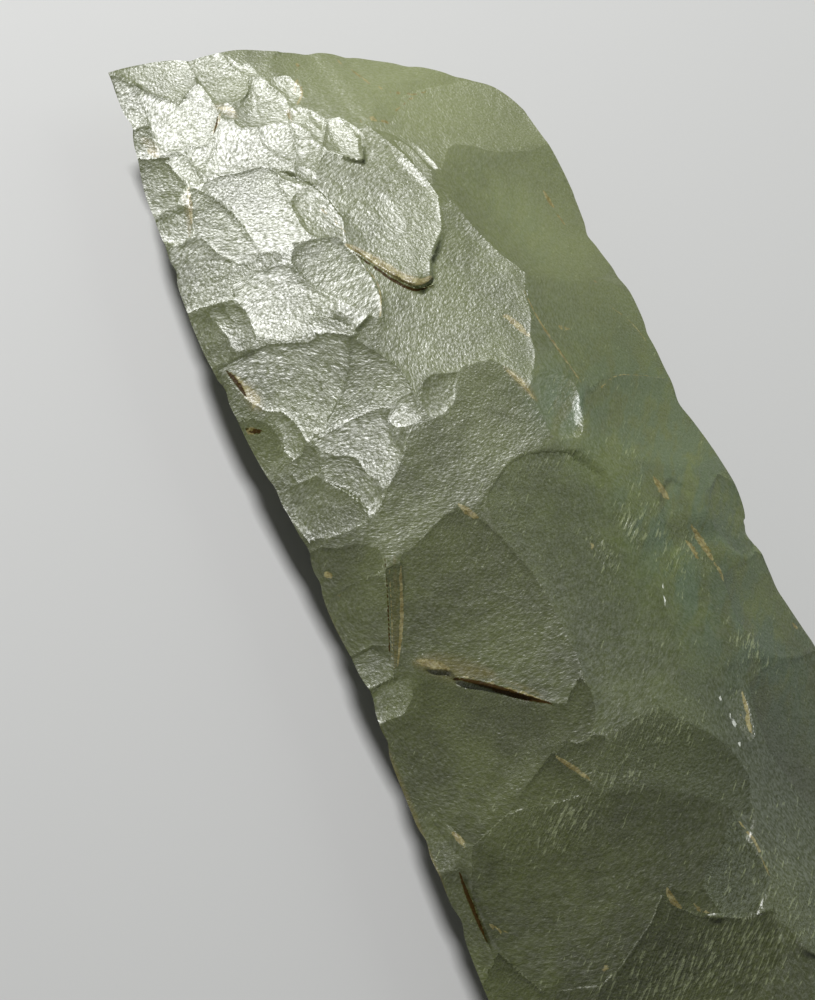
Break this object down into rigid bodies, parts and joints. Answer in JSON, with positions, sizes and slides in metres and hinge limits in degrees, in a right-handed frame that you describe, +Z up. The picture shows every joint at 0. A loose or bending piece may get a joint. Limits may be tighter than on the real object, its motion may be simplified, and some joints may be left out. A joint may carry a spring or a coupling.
{
  "type": "knapped jasper celt",
  "caption": "Long flaked stone celt blade with a lens-shaped section, a skewed sharp bit and a rounded poll, lying on its flatter face.",
  "frame": {"origin": "on the resting plane, under the middle of the celt's bounding box", "axes": "+Y along the blade towards the skewed bit, +X to the right across the blade seen from above, +Z up"},
  "size_m": [0.0672, 0.2002, 0.0232],
  "materials": {
    "green_jasper": "satin flaked stone"
  },
  "bodies": {
    "root": {"celt": "green_jasper"}
  },
  "joints": []
}
